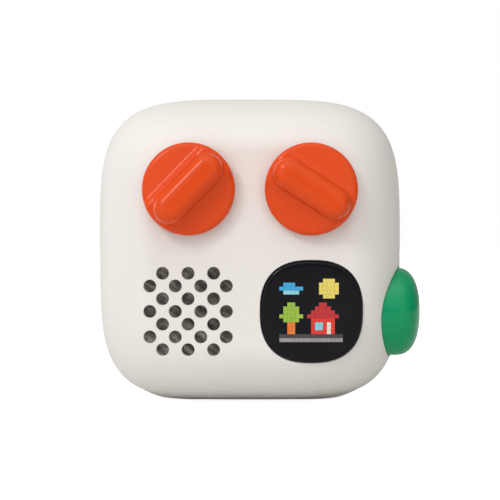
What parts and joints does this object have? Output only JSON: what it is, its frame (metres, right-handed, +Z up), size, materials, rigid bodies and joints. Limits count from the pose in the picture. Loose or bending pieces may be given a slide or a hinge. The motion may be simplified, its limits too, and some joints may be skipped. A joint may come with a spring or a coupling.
{
  "type": "audio story player",
  "caption": "Small rounded-square story player with turning and pressing knobs, a speaker grille, a pixel display and a domed side power button.",
  "frame": {"origin": "under the middle of the case, on the flat underside of the foot pad", "axes": "+X to the player's right seen from the front, +Y to the back (the knobs face -Y), +Z up"},
  "size_m": [0.0743, 0.046, 0.0701],
  "materials": {
    "case": "fine satin moulded plastic, warm off-white",
    "foot": "matte off-white elastomer",
    "slot_trim": "satin moulded plastic",
    "knob_orange": "semi-gloss orange-red plastic",
    "button_green": "semi-gloss green plastic",
    "display_lens": "gloss smoked acrylic",
    "grille_cloth": "woven acoustic cloth",
    "dark_plastic": "matte moulded plastic",
    "socket_plastic": "matte moulded plastic",
    "circuit_board": "solder mask",
    "tin_plate": "tinned steel",
    "steel": "plated steel",
    "shaft_metal": "turned metal",
    "ferrite": "sintered ferrite magnet",
    "battery_foil": "laminated pouch foil",
    "wire_sleeve": "insulated wire",
    "flex_film": "polyimide film",
    "foam": "closed-cell foam",
    "soft_rubber": "soft rubber",
    "spider_cloth": "resin-treated cloth",
    "cone_paper": "pressed paper",
    "copper": "enamelled copper winding",
    "nylon": "natural nylon",
    "led_block": "LED array with clear resin"
  },
  "bodies": {
    "housing": {"front_shell": "case", "rear_shell": "case", "base_pad": "foot", "card_slot_lip": "slot_trim", "card_guide": "dark_plastic", "nfc_antenna": "flex_film", "main_board": "circuit_board", "processor_shield": "tin_plate", "wireless_module": "tin_plate", "battery_cell": "battery_foil", "battery_tray": "dark_plastic", "battery_leads": "wire_sleeve", "grille_cloth": "grille_cloth", "speaker_gasket": "foam", "speaker_frame": "dark_plastic", "speaker_surround": "soft_rubber", "speaker_spider": "spider_cloth", "speaker_top_plate": "steel", "speaker_magnet": "ferrite", "speaker_yoke": "steel", "speaker_screws": "steel", "speaker_leads": "wire_sleeve", "display_lens": "display_lens", "display_gasket": "foam", "light_baffle": "dark_plastic", "led_matrix": "led_block", "led_board": "circuit_board", "display_screws": "steel", "display_flex": "flex_film", "knob_board": "circuit_board", "knob_board_screws": "steel", "knob_flex": "flex_film", "left_encoder_body": "shaft_metal", "right_encoder_body": "shaft_metal", "left_encoder_base": "dark_plastic", "right_encoder_base": "dark_plastic", "left_press_dome": "steel", "right_press_dome": "steel", "button_bracket": "dark_plastic", "power_switch": "dark_plastic", "power_switch_board": "circuit_board", "usb_socket": "tin_plate", "headphone_socket": "socket_plastic", "shell_screws": "steel", "main_board_screws": "steel"},
    "speaker_cone": {"speaker_cone": "cone_paper", "speaker_dust_cap": "cone_paper", "speaker_voice_coil": "copper"},
    "left_rotor": {"left_encoder_rotor": "nylon"},
    "left_knob": {"left_knob": "knob_orange", "left_shaft": "shaft_metal"},
    "right_rotor": {"right_encoder_rotor": "nylon"},
    "right_knob": {"right_knob": "knob_orange", "right_shaft": "shaft_metal"},
    "power_button": {"power_button": "button_green", "power_plunger": "nylon", "plunger_clip": "steel", "power_switch_actuator": "nylon"}
  },
  "joints": [
    {"name": "left_knob_turn", "type": "hinge", "parent": "housing", "child": "left_rotor", "pos_m": [-0.0137, -0.0101, 0.04885], "axis": [0, 1, 0], "continuous": true},
    {"name": "left_knob_press", "type": "slide", "parent": "left_rotor", "child": "left_knob", "axis": [0, 1, 0], "range_m": [0, 0.0005], "stiffness_N_per_m": 1500, "springref_m": -0.0005, "deforming": ["left_press_dome"]},
    {"name": "right_knob_turn", "type": "hinge", "parent": "housing", "child": "right_rotor", "pos_m": [0.0137, -0.0101, 0.04885], "axis": [0, 1, 0], "continuous": true},
    {"name": "right_knob_press", "type": "slide", "parent": "right_rotor", "child": "right_knob", "axis": [0, 1, 0], "range_m": [0, 0.0005], "stiffness_N_per_m": 1500, "springref_m": -0.0005, "deforming": ["right_press_dome"]},
    {"name": "power_button_press", "type": "slide", "parent": "housing", "child": "power_button", "axis": [-1, 0, 0], "range_m": [0, 0.0006], "stiffness_N_per_m": 1500, "springref_m": -0.0005},
    {"name": "speaker_cone_travel", "type": "slide", "parent": "housing", "child": "speaker_cone", "axis": [0, 1, 0], "range_m": [-0.0004, 0.0004], "stiffness_N_per_m": 1200, "deforming": ["speaker_surround", "speaker_spider"]}
  ]
}
